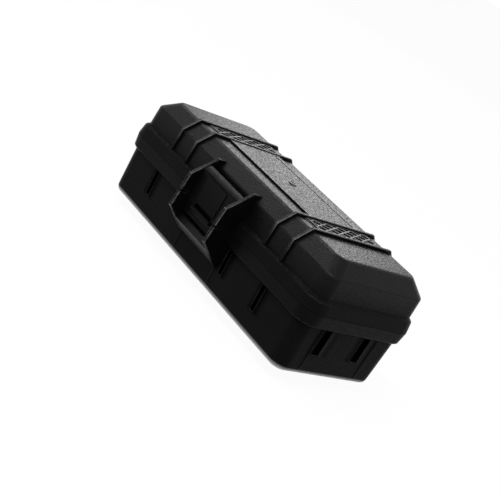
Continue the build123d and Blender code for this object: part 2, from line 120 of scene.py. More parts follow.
def show_mesh(name, points, faces, smooth=True):
    """A new object with a mesh of points and faces; smooth is one value, or one for each face."""
    mesh = bpy.data.meshes.new(name)
    mesh.from_pydata(points.tolist(), [], faces)
    mesh.polygons.foreach_set("use_smooth", np.full(len(faces), smooth))
    mesh.update()
    print(name, "-", len(points), "points,", len(faces), "faces")
    return put_in_scene(name, mesh)


def make_piece(name, loops, wrap=False):
    """A closed mesh from an array of loops, rows x points x 3, in metres.

    With wrap the last row joins the first. Without it a point at the middle of the first row and one
    at the middle of the last row close the ends with fans of triangles.
    """
    rows, count = loops.shape[:2]
    points = loops.reshape(-1, 3)
    faces = loop_faces(rows, count, wrap).tolist()
    if not wrap:
        low, high = len(points), len(points) + 1
        points = np.vstack([points, loops[0].mean(0), loops[-1].mean(0)])
        here = np.arange(count)
        beside = (here + 1) % count
        top = (rows - 1) * count
        faces += np.stack([np.full(count, low), beside, here], -1).tolist()
        faces += np.stack([np.full(count, high), top + here, top + beside], -1).tolist()
    return show_mesh(name, points, faces)


# %% [markdown]
# ## Outlines as distances from one point
# The foam pieces are rounded rectangles in plan, and one has a pocket in the shape of a micrometer.
# Seen from a point inside, each outline is one distance per direction, so a loop is that point plus a
# distance along each ray. A ray meets a rounded rectangle on a long side, an end or a corner arc, and
# it meets a circle where the usual quadratic says. The pocket is a rectangle joined to a circle, and
# its distance is simply the larger of the two. Edges are rounded by loops that step along a quarter
# circle.

# %% Rays against rectangles and circles
TINY = 1e-9


def ray_circle(start, rays, centre, radius):
    """Distance t along each ray to the far side of a circle: t = b + sqrt(b^2 - c).

    b is the centre's offset along the ray, and c its squared distance less the radius squared.
    """
    offset = np.asarray(centre) - start
    b = rays @ offset
    return b + np.sqrt(np.maximum(b * b - (offset @ offset - radius**2), 0))


def ray_rectangle(start, rays, centre, half, radius):
    """Distance along each ray from a point inside to the edge of a rounded rectangle.

    It is the nearer of the two sides ahead, unless that point lies in a corner's square, where the
    corner's arc takes over.
    """
    centre, half = np.asarray(centre), np.asarray(half)
    ahead = np.where(rays >= 0, 1.0, -1.0)
    steep = np.maximum(np.abs(rays), TINY)
    reach = (half - ahead * (start - centre)) / steep
    t = reach.min(1)
    hit = start + rays * t[:, None] - centre
    in_corner = (np.abs(hit) > half - radius).all(1)
    corners = centre + ahead * (half - radius) - start
    b = (rays * corners).sum(1)
    arc = b + np.sqrt(np.maximum(b * b - ((corners**2).sum(1) - radius**2), 0))
    return np.where(in_corner, arc, t)


def even_rays(start, centre, half, count):
    """Directions from start whose ends are evenly spaced round a rectangle, as unit vectors."""
    along = np.linspace(0, 1, count, endpoint=False) * 4 * (half[0] + half[1])
    a, b = 2 * half[0], 2 * half[1]
    turns = [0, a, a + b, 2 * a + b, 2 * a + 2 * b]
    x = np.interp(along, turns, np.array([-1, 1, 1, -1, -1]) * half[0])
    y = np.interp(along, turns, np.array([-1, -1, 1, 1, -1]) * half[1])
    ends = np.stack([x, y], -1) + centre - start
    return ends / np.linalg.norm(ends, axis=1)[:, None]


def loop_at(start, rays, distance, z):
    """One closed loop: start + distance x ray in plan, at height z."""
    plan = start + rays * distance[:, None]
    return np.column_stack([plan, np.broadcast_to(z, len(plan))])


def quarter_turn(radius, steps):
    """Pairs radius x (1 - cos a) and radius x (1 - sin a), with a going from 0 to a quarter turn."""
    angles = np.linspace(0, np.pi / 2, steps)
    return [(radius * (1 - np.cos(a)), radius * (1 - np.sin(a))) for a in angles]


print("outline helpers ready")

# %% [markdown]
# ## The foam tray in the base
# On the real case a block of closed-cell foam fills the base, with a pocket cut through it in the
# outline of a micrometer: a straight channel for the barrel and a round bay for the bow. A knife or a
# die leaves a sharp wall, and handling softens the top edges a little. The tray is modelled as a ring:
# its loops climb the outside, turn over a small rounded edge, cross the top and go down the pocket.

# %% Shape the foam tray
tray_low, tray_high = (np.array(corner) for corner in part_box("foam_tray"))
tray_half = (tray_high - tray_low)[:2] / 2
TRAY_CORNER = 3.7 * MM
BARREL_AT, BARREL_HALF, BARREL_CORNER = (0.0, 13 * MM), (67 * MM, 10.5 * MM), 5 * MM
BOW_AT, BOW_RADIUS = (-38 * MM, 0.5 * MM), 24.5 * MM
SHARED_POINT = np.array([-38 * MM, 9 * MM])


def pocket_reach(rays, inset):
    """The pocket's edge moved out by inset: the farther of the channel's edge and the bow's."""
    half = np.add(BARREL_HALF, inset)
    channel = ray_rectangle(SHARED_POINT, rays, BARREL_AT, half, BARREL_CORNER + inset)
    return np.maximum(channel, ray_circle(SHARED_POINT, rays, BOW_AT, BOW_RADIUS + inset))


def tray_reach(rays, inset):
    """The tray's own edge moved in by inset."""
    return ray_rectangle(SHARED_POINT, rays, (0.0, 0.0), tray_half - inset, TRAY_CORNER)


def foam_tray_loops(count=720, edge=1.2 * MM):
    """Loops that climb the outer wall, turn over both rounded top edges and go down the pocket."""
    rays = even_rays(SHARED_POINT, (0.0, 0.0), tray_half, count)
    bottom, top = tray_low[2], tray_high[2]

    def at(reach, z):
        return loop_at(SHARED_POINT, rays, reach, z)

    loops = [at(tray_reach(rays, 0), z) for z in np.linspace(bottom, top - edge, 9)]
    loops += [at(tray_reach(rays, inset), top - drop) for inset, drop in quarter_turn(edge, 6)[1:]]
    rim, lip = tray_reach(rays, edge), pocket_reach(rays, edge)
    loops += [at(rim + (lip - rim) * share, top) for share in np.linspace(0, 1, 10)[1:-1]]
    loops += [at(pocket_reach(rays, inset), top - drop) for inset, drop in quarter_turn(edge, 6)[::-1]]
    loops += [at(pocket_reach(rays, 0), z) for z in np.linspace(top - edge, bottom, 9)[1:]]
    return np.array(loops)


tray = make_piece("foam_tray_block", foam_tray_loops(), wrap=True)
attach(tray, "base")
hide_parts("foam_tray")

# %% [markdown]
# ## The foam floor under it
# A thinner sheet of the same foam lies under the tray, so the tool never touches plastic. It follows
# the rounded bottom of the shell, and a step fills the hollow foot. It is closed by a pole in the
# middle of each face.

# %% Shape the foam floor
floor_low, floor_high = (np.array(corner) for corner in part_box("foam_floor"))
floor_half = (floor_high - floor_low)[:2] / 2
FOOT_STEP, FOOT_CORNER = 5.0 * MM, 4.0 * MM
FOOT_HALF = floor_half - 13.0 * MM
CENTRE = np.array([0.0, 0.0])


def foam_floor_loops(count=360, bottom_round=0.5 * MM, edge=0.8 * MM):
    """Loops from the middle of the underside, round the foot's step and the bottom edge, to the top."""
    rays = even_rays(CENTRE, CENTRE, floor_half, count)
    bottom, top = floor_low[2], floor_high[2]
    step_z = bottom + FOOT_STEP

    def at(half, corner, z, share=1.0):
        return loop_at(CENTRE, rays, ray_rectangle(CENTRE, rays, CENTRE, half, corner) * share, z)

    loops = [at(FOOT_HALF, FOOT_CORNER, bottom, share) for share in (0.25, 0.5, 0.75, 1.0)]
    loops += [at(FOOT_HALF, FOOT_CORNER, z) for z in np.linspace(bottom, step_z, 4)[1:]]
    for rise, inset in quarter_turn(bottom_round, 7):
        loops.append(at(floor_half - inset, TRAY_CORNER, step_z + rise))
    loops.append(at(floor_half, TRAY_CORNER, top - edge))
    for inset, drop in quarter_turn(edge, 5)[1:]:
        loops.append(at(floor_half - inset, TRAY_CORNER, top - drop))
    loops += [at(floor_half - edge, TRAY_CORNER, top, share) for share in np.linspace(1, 0, 13)[1:-1]]
    return np.array(loops)


floor_pad = make_piece("foam_floor_pad", foam_floor_loops())
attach(floor_pad, "base")
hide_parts("foam_floor")

# %% [markdown]
# ## The egg-crate pad in the lid
# The lid holds soft open-cell foam with rows of rounded bumps, which press the tool into its pocket.
# Such foam is cut on a machine that squeezes it while a blade passes through, and that leaves a
# surface close to a product of two cosines. The bumps fade towards the edge, where the pad is glued.

# %% Shape the lid pad
pad_low, pad_high = (np.array(corner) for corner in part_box("lid_foam"))
pad_half = (pad_high - pad_low)[:2] / 2
PAD_CORNER = 3.5 * MM
PAD_SHOULDER_Z = 51.0 * MM
PAD_TOP_INSET = 5.5 * MM
BUMP_PITCH, BUMP_DEPTH, BUMP_FADE = 11.9 * MM, 4.6 * MM, 5.0 * MM
BUMP_FULLNESS = 1.3


def soft_step(t):
    """Smooth rise from 0 to 1: 3t^2 - 2t^3, held at the ends."""
    t = np.clip(t, 0, 1)
    return t * t * (3 - 2 * t)


def egg_crate(x, y, rim_distance):
    """Depth of the dimples: half (1 - cos kx cos ky), to a power that fills out the bumps.

    It is times the full depth, and a soft step brings it in over the first millimetres from the edge.
    """
    k = 2 * np.pi / BUMP_PITCH
    wave = 0.5 - 0.5 * np.cos(k * x) * np.cos(k * y)
    return BUMP_DEPTH * wave**BUMP_FULLNESS * soft_step(rim_distance / BUMP_FADE)


def lid_pad_loops(count=560, rings=74, edge=1.5 * MM):
    """Loops from the middle of the bumpy face out to its edge, up the side and over the slope."""
    rays = even_rays(CENTRE, CENTRE, pad_half, count)
    bottom, top = pad_low[2], pad_high[2]

    def at(inset, z, share=1.0):
        outline = ray_rectangle(CENTRE, rays, CENTRE, pad_half - inset, PAD_CORNER)
        return loop_at(CENTRE, rays, outline * share, z)

    loops = []
    for share in np.linspace(0, 1, rings + 1)[1:]:
        ring = at(edge, bottom, share)
        rim_distance = (np.abs(pad_half - edge - np.abs(ring[:, :2]))).min(1)
        ring[:, 2] += egg_crate(ring[:, 0], ring[:, 1], rim_distance)
        loops.append(ring)
    loops += [at(inset, bottom + rise) for rise, inset in quarter_turn(edge, 6)[1:]]
    loops += [at(0, z) for z in np.linspace(bottom + edge, PAD_SHOULDER_Z, 7)[1:]]
    for share in np.linspace(0, 1, 5)[1:]:
        loops.append(at(PAD_TOP_INSET * share, PAD_SHOULDER_Z + (top - PAD_SHOULDER_Z) * share))
    loops += [at(PAD_TOP_INSET, top, share) for share in (0.75, 0.5, 0.25)]
    return np.array(loops)


lid_pad = make_piece("lid_foam_pad", lid_pad_loops())
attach(lid_pad, "lid")
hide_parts("lid_foam")

# %% [markdown]
# ## The tread strips on the lid
# Between each pair of rims lies a strip with a raised lattice, so that cases stacked on top don't slip.
# The lattice is two families of parallel ridges that cross, and a plain border frames them. A height
# above the strip's floor can be written down for every point, so the top is a grid of heights, and
# the strip's walls are the grid's own edge drawn straight down.

# %% Shape the tread
TREAD_PITCH = (4.4 * MM, 8.2 * MM)
TREAD_HEIGHT = 0.85 * MM
RIDGE_HALF, RIDGE_SLOPE = 0.65 * MM, 0.4
BORDER, BORDER_SLOPE = 1.2 * MM, 0.25
EDGE_ROUND, EDGE_DROP = 0.25 * MM, 0.2 * MM


def tread_height(x, y, half):
    """Height of the lattice: a ridge wherever x/px + y/py or x/px - y/py is a whole number.

    The distance to the nearest such line is scaled to metres and rounded off by a soft step. The
    border is a ridge round the edge, and the higher of the two counts. The outermost edge drops a
    little. The slopes are shares of a ridge's half width and of the border's width.
    """
    across, along = TREAD_PITCH
    lines = np.stack([x / across + y / along, x / across - y / along])
    scale = 1 / np.hypot(1 / across, 1 / along)
    distance = np.abs(lines - np.round(lines)).min(0) * scale
    lattice = soft_step((RIDGE_HALF - distance) / (RIDGE_SLOPE * RIDGE_HALF))
    rim = np.minimum(half[0] - np.abs(x), half[1] - np.abs(y))
    border = soft_step((BORDER - rim) / (BORDER_SLOPE * BORDER))
    edge = soft_step(rim / EDGE_ROUND)
    return TREAD_HEIGHT * np.maximum(lattice, border) - EDGE_DROP * (1 - edge)


def tread_strip(name, node, columns=70, lines=250):
    """A block whose top is the tread's grid of heights and whose sides go down from its edge."""
    low, high = (np.array(corner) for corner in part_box(node))
    half, middle = (high - low)[:2] / 2, (high + low)[:2] / 2
    x, y = np.meshgrid(np.linspace(-half[0], half[0], columns),
                       np.linspace(-half[1], half[1], lines))
    z = high[2] - TREAD_HEIGHT + tread_height(x, y, half)
    top = np.stack([x + middle[0], y + middle[1], z], -1)
    base = top.copy()
    base[..., 2] = low[2]
    index = np.arange(lines * columns).reshape(lines, columns)
    quads = np.stack([index[:-1, :-1], index[:-1, 1:], index[1:, 1:], index[1:, :-1]], -1)
    quads = quads.reshape(-1, 4)
    rim = np.concatenate([index[0, :-1], index[:-1, -1], index[-1, :0:-1], index[:0:-1, 0]])
    after = np.roll(rim, -1)
    under = lines * columns
    sides = np.stack([rim, rim + under, after + under, after], -1)
    points = np.vstack([top.reshape(-1, 3), base.reshape(-1, 3)])
    faces = np.vstack([quads, quads[:, ::-1] + under, sides])
    return show_mesh(name, points, faces.tolist(), np.arange(len(faces)) < len(quads))


for side in ("left", "right"):
    strip = tread_strip("tread_" + side, "tread_strip_" + side)
    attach(strip, "lid")
    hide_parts("tread_strip_" + side)

# %% [markdown]
# ## The gate mark on the lid
# Plastic enters a mould through a small gate. Where the sprue was cut off, a low ring a few millimetres
# across and a nib stay behind, here in the middle of the raised panel. It is a surface of revolution: a
# profile of radius against height, carried once round.

# %% Shape the gate mark
RIMS_ABOVE_PANEL = 0.5 * MM
panel_z = cad_box[1][2] - RIMS_ABOVE_PANEL
GATE_RADII_MM = [2.0, 2.0, 1.9, 1.6, 1.45, 1.1, 0.65, 0.5, 0.35, 0.15]
GATE_HEIGHTS_MM = [-0.15, 0.36, 0.47, 0.47, 0.2, 0.05, 0.05, 0.25, 0.36, 0.4]


def gate_mark(name, centre, count=40):
    """Profile carried round: from the buried foot up a low rim, down into its dish and up a nib."""
    radius, height = np.array(GATE_RADII_MM) * MM, np.array(GATE_HEIGHTS_MM) * MM
    angle = np.linspace(0, 2 * np.pi, count, endpoint=False)
    x = centre[0] + radius[:, None] * np.cos(angle)
    y = centre[1] + radius[:, None] * np.sin(angle)
    z = centre[2] + np.repeat(height[:, None], count, 1)
    return make_piece(name, np.stack([x, y, z], -1))


gate = gate_mark("gate_mark", (0.0, -0.5 * MM, panel_z))
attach(gate, "lid")

# %% [markdown]
# ## Materials from nodes
# Every finish below is worked out from the place on the piece in metres, so nothing stretches. A small
# set of helpers keeps the node graphs short: one adds a node and sets its inputs, one makes noise of a
# given grain size, and one turns a range of values into another. Others find the edges, where wear and
# painted highlights go, and the corners that lie in shade.

# %% Node helpers
def add_node(tree, kind, links=(), **settings):
    """A node with its settings as attributes, and sockets set or linked from (input, source) pairs."""
    node = tree.nodes.new("ShaderNode" + kind)
    for key, value in settings.items():
        setattr(node, key, value)
    for socket, source in links:
        if isinstance(source, bpy.types.NodeSocket):
            tree.links.new(source, node.inputs[socket])
        else:
            node.inputs[socket].default_value = source
    return node


PROBE_RAYS = 6
AT_AN_EDGE, ON_FLAT_SKIN = 0.55, 0.92
IN_A_CORNER, IN_THE_OPEN = 0.35, 0.9


class Finish:
    """A Principled material and the shortcuts for adding nodes to it."""

    def __init__(self, name):
        self.material = bpy.data.materials.new(name)
        self.material.use_nodes = True
        self.tree = self.material.node_tree
        self.shader = self.tree.nodes["Principled BSDF"]
        self.place = self.add("TexCoord").outputs["Object"]
        self.x, self.y, self.z = self.add("SeparateXYZ", [("Vector", self.place)]).outputs
        self.aside = self.math("ABSOLUTE", self.x)

    def add(self, kind, links=(), **settings):
        """A node of this material, as add_node makes it."""
        return add_node(self.tree, kind, links, **settings)

    def math(self, operation, *values):
        """One step of arithmetic on numbers or outputs."""
        return self.add("Math", list(enumerate(values)), operation=operation).outputs[0]

    def product(self, first, *others):
        """All the values multiplied."""
        for value in others:
            first = self.math("MULTIPLY", first, value)
        return first

    def largest(self, first, *others):
        """The largest of the values."""
        for value in others:
            first = self.math("MAXIMUM", first, value)
        return first

    def noise(self, grain, detail=3.0, roughness=0.5, stretch=(1, 1, 1)):
        """Noise whose features are about grain metres across."""
        place = self.add("Mapping", [("Vector", self.place), ("Scale", stretch)]).outputs[0]
        node = self.add("TexNoise", [("Vector", place), ("Scale", 1 / grain), ("Detail", detail),
                                     ("Roughness", roughness)])
        return node.outputs["Fac"]

    def pebbles(self, grain, smoothness=0.6):
        """Rounded cells about grain metres across, low in their middles."""
        node = self.add("TexVoronoi", [("Vector", self.place), ("Scale", 1 / grain),
                                       ("Smoothness", smoothness)], feature="SMOOTH_F1")
        return node.outputs["Distance"]

    def spread(self, value, low, high, to_low, to_high):
        """Values from low to high become to_low to to_high."""
        node = self.add("MapRange", [("Value", value), ("From Min", low), ("From Max", high),
                                     ("To Min", to_low), ("To Max", to_high)])
        return node.outputs[0]

    def slope(self, value, start, end, first=0.0, last=1.0):
        """first before start and last beyond end, both in millimetres, in whichever order they lie."""
        return self.spread(value, start * MM, end * MM, first, last)

    def fade(self, share, first, last):
        """A number that goes from first to last as share goes from 0 to 1."""
        return self.spread(share, 0, 1, first, last)

    def profile(self, value, centre, stops):
        """Straight runs through pairs of millimetres from centre and the result there, level beyond."""
        low, high = stops[0][0], stops[-1][0]
        span = self.spread(value, centre + low * MM, centre + high * MM, 0, 1)
        node = self.add("ValToRGB", [("Fac", span)])
        elements = node.color_ramp.elements
        while len(elements) < len(stops):
            elements.new(0.5)
        for element, (offset, result) in zip(elements, stops):
            element.position = (offset - low) / (high - low)
            element.color = (result, result, result, 1)
        return node.outputs["Color"]

    def shade(self, value, dark, light):
        """A colour between dark and light, by value."""
        ramp = self.add("ValToRGB", [("Fac", value)])
        ramp.color_ramp.elements[0].color = (*dark, 1)
        ramp.color_ramp.elements[1].color = (*light, 1)
        return ramp.outputs["Color"]

    def bump(self, height, depth, after=None):
        """Surface relief of depth metres, laid over an earlier relief if there is one."""
        links = [("Height", height), ("Distance", depth), ("Strength", 1.0)]
        if after is not None:
            links.append(("Normal", after))
        return self.add("Bump", links).outputs[0]

    def edge_wear_and_highlight(self, width, breakup):
        """1 along outer edges and 0 on flat skin, as rays sent inwards soon leave the plastic there."""
        inward = self.add("AmbientOcclusion", [("Distance", width)], inside=True, only_local=True,
                          samples=PROBE_RAYS)
        near_edge = self.spread(inward.outputs["AO"], ON_FLAT_SKIN, AT_AN_EDGE, 0, 1)
        return self.product(near_edge, self.spread(breakup, 0.25, 0.6, 0.35, 1.0))

    def openness(self, reach):
        """1 on open skin, and 0 in slots and corners that other plastic shades within reach."""
        outward = self.add("AmbientOcclusion", [("Distance", reach)], only_local=True,
                           samples=PROBE_RAYS)
        return self.spread(outward.outputs["AO"], IN_A_CORNER, IN_THE_OPEN, 0, 1)

    def mix(self, share, first, second):
        """A colour that goes from first to second as share goes from 0 to 1."""
        colours = [(*colour, 1) if isinstance(colour, tuple) else colour for colour in (first, second)]
        links = [(0, share), (6, colours[0]), (7, colours[1])]
        return self.add("Mix", links, data_type="RGBA").outputs[2]

    def use(self, plain_level=0.5, **sockets):
        """Values or links for the shader's sockets, with _ for a space in their names.

        plain_level stays on the specular socket for programs that can't read the nodes linked to it.
        """
        self.shader.inputs["Specular IOR Level"].default_value = plain_level
        for key, source in sockets.items():
            socket = self.shader.inputs[key.replace("_", " ")]
            if isinstance(source, bpy.types.NodeSocket):
                self.tree.links.new(source, socket)
            else:
                socket.default_value = source
        return self.material


print("finish helpers ready")

# %% [markdown]
# ## Where the plastic is rubbed, and where highlights are painted
# Black plastic that rubs against hands and benches wears to grey along its edges, and the same grey is
# also a painted highlight along the edges of the latch's cheeks, the top, the rims and the corners.
# Short rays sent inwards find those edges, because they soon leave the plastic there. A mask by place
# then keeps the wear and the painted highlight to what sticks out, and the rounding at the foot of the
# walls is scuffed all round and lightened as a painted reflection of the table.

# %% Mark the rubbed places and the painted highlights
SPLIT_Z = 35.6 * MM


def rubbed_and_highlit_places(f):
    """1 where hands, benches and other cases rub the edges, which are also painted as highlights, and
    near 0 on sheltered ones.

    It is the largest of four zones: the latch's cheeks, the top, the rims on the shoulder and the
    corners, where it stands in for the highlight along the rounded edges as a painted highlight. The
    edges at the split close on each other, so they are left out.
    """
    cheeks = f.product(f.slope(f.y, -37, -41, 0.05), f.slope(f.aside, 14.0, 14.2, 0.3))
    top = f.slope(f.z, 58.9, 59.8, 0.05, 0.85)
    rims = f.product(f.slope(f.aside, 33.4, 33.8), f.slope(f.aside, 48.6, 48.2),
                     f.slope(f.z, 46, 53, 0, 0.9))
    corners = f.product(f.slope(f.aside, 64, 70, 0, 0.36), f.slope(f.math("ABSOLUTE", f.y), 22, 28))
    from_split = f.math("ABSOLUTE", f.math("SUBTRACT", f.z, SPLIT_Z))
    return f.product(f.largest(cheeks, top, rims, corners), f.slope(from_split, 0.4, 0.8))


def bottom_scuff_and_painted_reflection(f):
    """1 on the rounding at the foot of the walls, which slides over benches and is lightened as a
    painted reflection of the table, and 0 elsewhere.
    """
    return f.product(f.slope(f.z, 7.8, 5.8, 0, 0.75), f.slope(f.z, 5.02, 5.3))


print("rubbed places ready")

# %% [markdown]
# ## Where shade is painted, and where the plastic stays dull
# Shade is painted into the recesses of the walls and along a line behind the raised panel: there the
# colour goes to black and the shine drops. The lip of each end recess gets a painted highlight in its
# shine. The low walls shine less. The shine is therefore a product of shares: how open the skin is, how
# much it is handled, and whether it lies in a recess. Not every program can read such a product, so a
# plain level stays on the socket behind it.

# %% Paint shade into the recesses and along the panel line
SLOT_X = (-48.2 * MM, 19.5 * MM, 46.6 * MM)
# Curves across each recess, in millimetres from its middle: below 1 is painted shade, above 1 is a
# painted highlight in the shine.
SLOT_SHADE_CURVE = [(-3.6, 1.0), (-1.3, 0.1), (1.3, 0.1), (3.0, 0.35), (5.8, 1.0)]
END_RECESS_Y = (-14.6 * MM, 10.9 * MM)
END_RECESS_SHADE_AND_LIP_CURVE = [(-7.0, 1.0), (-5.6, 0.7), (-4.5, 0.5), (-3.4, 0.37), (-0.6, 0.36),
                    (0.7, 0.18), (1.9, 0.05), (2.42, 0.02), (2.6, 1.2), (3.6, 1.45),
                    (4.4, 0.9), (6.0, 0.6), (8.5, 1.0)]
PANEL_LINE_Y = 13.0 * MM
PANEL_LINE_SHADE_CURVE = [(-1.2, 1.0), (-0.5, 0.05), (0.5, 0.05), (1.2, 1.0)]


def painted_recess_shade(f):
    """Painted shade: 1 on open skin and near 0 in the recesses of the walls and on a line behind the
    raised panel.

    The curves run across each recess, are multiplied, and only count at its own height. An end recess's
    painted shade fades in slowly from one side, and its lip on the other side gets a painted highlight
    in the shine.
    """
    curves = [f.profile(f.x, centre, SLOT_SHADE_CURVE) for centre in SLOT_X]
    curves += [f.profile(f.y, centre, END_RECESS_SHADE_AND_LIP_CURVE) for centre in END_RECESS_Y]
    recess_height = f.product(f.slope(f.z, 14.6, 16.2), f.slope(f.z, 29.2, 28.0))
    on_walls = f.fade(recess_height, 1.0, f.product(*curves))
    on_panel = f.product(f.slope(f.z, 58.7, 58.9), f.slope(f.aside, 33.4, 33.0))
    return f.product(on_walls, f.fade(on_panel, 1.0, f.profile(f.y, PANEL_LINE_Y, PANEL_LINE_SHADE_CURVE)))


print("recesses:", len(SLOT_X), "along each side and", len(END_RECESS_Y), "at each end")

# %% Say how much each place is handled
LEDGE_Z = 41.4 * MM
LEDGE_CURVE = [(-0.9, 1.0), (-0.6, 0.45), (0.7, 0.45), (1.2, 1.0)]
WALL_SHARE, BELT_SHARE, LID_SHARE, CHIN_SHARE = 0.33, 0.4, 0.97, 1.6
LEVER_FACE_SHARE = 0.6


def handled_share(f):
    """1 on the lid and the chin between the cheeks, which hands polish, and less low on the walls.

    Dust stays on the belt's narrow upper ledge along the front and rear, so a curve over the
    height dulls it there.
    """
    chin = f.product(f.slope(f.aside, 14.3, 14.0), f.slope(f.y, -33, -35, 0, CHIN_SHARE))
    by_height = f.largest(f.slope(f.z, 28, 31, WALL_SHARE, BELT_SHARE),
                          f.slope(f.z, 39, 52, WALL_SHARE, LID_SHARE))
    ledge = f.largest(f.profile(f.z, LEDGE_Z, LEDGE_CURVE), f.slope(f.aside, 68, 72, 0, 0.85))
    return f.largest(f.product(by_height, ledge), chin)


def lever_share(f):
    """Most along the lever's thumb edge, fading towards its face, and less on the face itself."""
    face = f.slope(f.z, 38, 50, WALL_SHARE, LEVER_FACE_SHARE)
    thumb_edge = f.slope(f.y, -39.0, -37.5, 0.2, 0.85)
    return f.fade(f.slope(f.z, 48.2, 48.9), face, thumb_edge)


print("handled shares:", WALL_SHARE, "on the walls,", LID_SHARE, "on the lid")

# %% [markdown]
# ## The shells and the lever: black plastic with a pebbled grain
# The moulds of such cases are etched, so the plastic comes out with a fine pebbled skin, which turns
# grey where light grazes it. Rounded cells just under a millimetre across give that skin, with finer
# noise on top, and a third noise drives the roughness, as handling polishes the grain in spots. The
# lever's mould is smoother, and its edges wear less.

# %% Finish the shells and the lever
# The black that is painted into the recesses and along the panel line as shade.
PAINTED_SHADE_BLACK = (0.0003, 0.0003, 0.0003)
# WORN_AND_HIGHLIT_LEVEL is the shine on the grey edges, which are partly worn and partly a painted
# highlight.
PLASTIC_LEVEL, WORN_AND_HIGHLIT_LEVEL = 0.1, 0.5
PATCH_SIZE, EDGE_WIDTH, CHIP_SIZE, SHADE_REACH = 22 * MM, 0.45 * MM, 2.5 * MM, 7 * MM


def moulded_plastic(name, dark, light, lightened, grain, relief, gloss, share):
    """Etched black plastic: noise for gloss and colour, pebbles for relief, edges lighter from wear and
    painted highlights, and painted shade in the recesses.
    """
    f = Finish(name)
    patches = f.noise(PATCH_SIZE)
    mottle = f.noise(grain * 1.3, detail=2, roughness=0.65)
    fine = f.noise(grain * 0.4, detail=4, roughness=0.6)
    painted_light_share = painted_recess_shade(f)
    # Painted shade: the recesses and the line behind the raised panel are painted black.
    colour = f.mix(painted_light_share, PAINTED_SHADE_BLACK, f.shade(f.product(fine, patches), dark, light))
    # Grey edges: partly wear, partly a painted highlight on the cheeks, top, rims and corners, and a
    # painted reflection on the bottom rounding.
    rubbed_and_highlit = f.product(f.edge_wear_and_highlight(EDGE_WIDTH, f.noise(CHIP_SIZE, detail=4)), rubbed_and_highlit_places(f))
    wear_and_highlight = f.largest(rubbed_and_highlit, bottom_scuff_and_painted_reflection(f))
    level = f.fade(wear_and_highlight, PLASTIC_LEVEL, WORN_AND_HIGHLIT_LEVEL)
    skin = f.bump(fine, relief * 0.5, after=f.bump(f.pebbles(grain), relief))
    return f.use(plain_level=PLASTIC_LEVEL, Base_Color=f.mix(wear_and_highlight, colour, lightened),
                 Specular_IOR_Level=f.product(f.openness(SHADE_REACH), share(f), painted_light_share, level),
                 Roughness=f.spread(mottle, 0.36, 0.64, *gloss), Normal=skin)


# The grey that the shells' edges lighten to is partly wear and partly a painted highlight.
shell_plastic = moulded_plastic(
    "shell_plastic", dark=(0.0012, 0.0012, 0.0014), light=(0.005, 0.005, 0.0055),
    lightened=(0.5, 0.5, 0.51), grain=0.85 * MM, relief=0.05 * MM, gloss=(0.27, 0.5), share=handled_share)
latch_plastic = moulded_plastic(
    "latch_plastic", dark=(0.0012, 0.0012, 0.0014), light=(0.0045, 0.0045, 0.005),
    lightened=(0.009, 0.009, 0.01), grain=0.7 * MM, relief=0.03 * MM, gloss=(0.3, 0.46), share=lever_share)
print("plastics:", shell_plastic.name, latch_plastic.name)

# %% [markdown]
# ## The tread, the seal and the pins
# Hands and other cases rub the tops of the tread smooth, while dust settles between its ridges: the
# height on the piece decides how rough and how shiny it is. The seal is matt rubber with a dusty bloom.
# The pins are drawn wire, so fine lines run along them.

# %% Finish the tread, seal and pins
TREAD_LEVEL = 0.15


def tread_plastic_finish(name, floor_z, top_z):
    """Like the shells, but polished and a little lighter towards the tops of the ridges."""
    f = Finish(name)
    lightened = f.spread(f.z, floor_z, top_z, 0, 1)
    fine = f.noise(0.25 * MM, detail=4)
    colour = f.shade(f.product(lightened, fine), (0.002, 0.002, 0.0023), (0.03, 0.03, 0.031))
    dusty = f.spread(f.noise(1.4 * MM, roughness=0.7), 0.38, 0.62, 0.35, 1.0)
    shine = f.product(f.openness(1.8 * MM), f.spread(lightened, 0.3, 1.0, 0.02, 0.19), dusty)
    return f.use(plain_level=TREAD_LEVEL, Base_Color=colour, Roughness=f.fade(lightened, 0.62, 0.33),
                 Specular_IOR_Level=shine, Normal=f.bump(fine, 0.02 * MM))


def seal_rubber_finish(name):
    """Matt rubber, mottled by bloom."""
    f = Finish(name)
    bloom = f.noise(1.6 * MM, detail=5, roughness=0.65)
    colour = f.shade(bloom, (0.012, 0.012, 0.012), (0.035, 0.034, 0.033))
    return f.use(Base_Color=colour, Roughness=0.82, Specular_IOR_Level=0.3,
                 Normal=f.bump(f.noise(0.3 * MM), 0.02 * MM))


def drawn_steel_finish(name):
    """Bright wire with lines along its length, which is X here."""
    f = Finish(name)
    lines = f.noise(0.12 * MM, detail=2, stretch=(0.02, 1, 1))
    colour = f.shade(lines, (0.38, 0.38, 0.39), (0.62, 0.62, 0.63))
    return f.use(Base_Color=colour, Metallic=1.0, Roughness=f.spread(lines, 0.3, 0.7, 0.22, 0.42),
                 Normal=f.bump(lines, 0.008 * MM))


tread_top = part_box("tread_strip_left")[1][2]
tread_plastic = tread_plastic_finish("tread_plastic", tread_top - TREAD_HEIGHT, tread_top)
seal_rubber = seal_rubber_finish("seal_rubber")
pin_steel = drawn_steel_finish("pin_steel")
print("tread, seal and pins:", tread_plastic.name, seal_rubber.name, pin_steel.name)

# %% [markdown]
# ## Foam
# Foam is a mass of cells. Cut closed-cell foam shows them as fine dark pits in a dull skin, while
# open-cell foam is coarser and lighter. Both scatter light softly, which sheen adds to the diffuse
# colour. Voronoi cells make the pits.

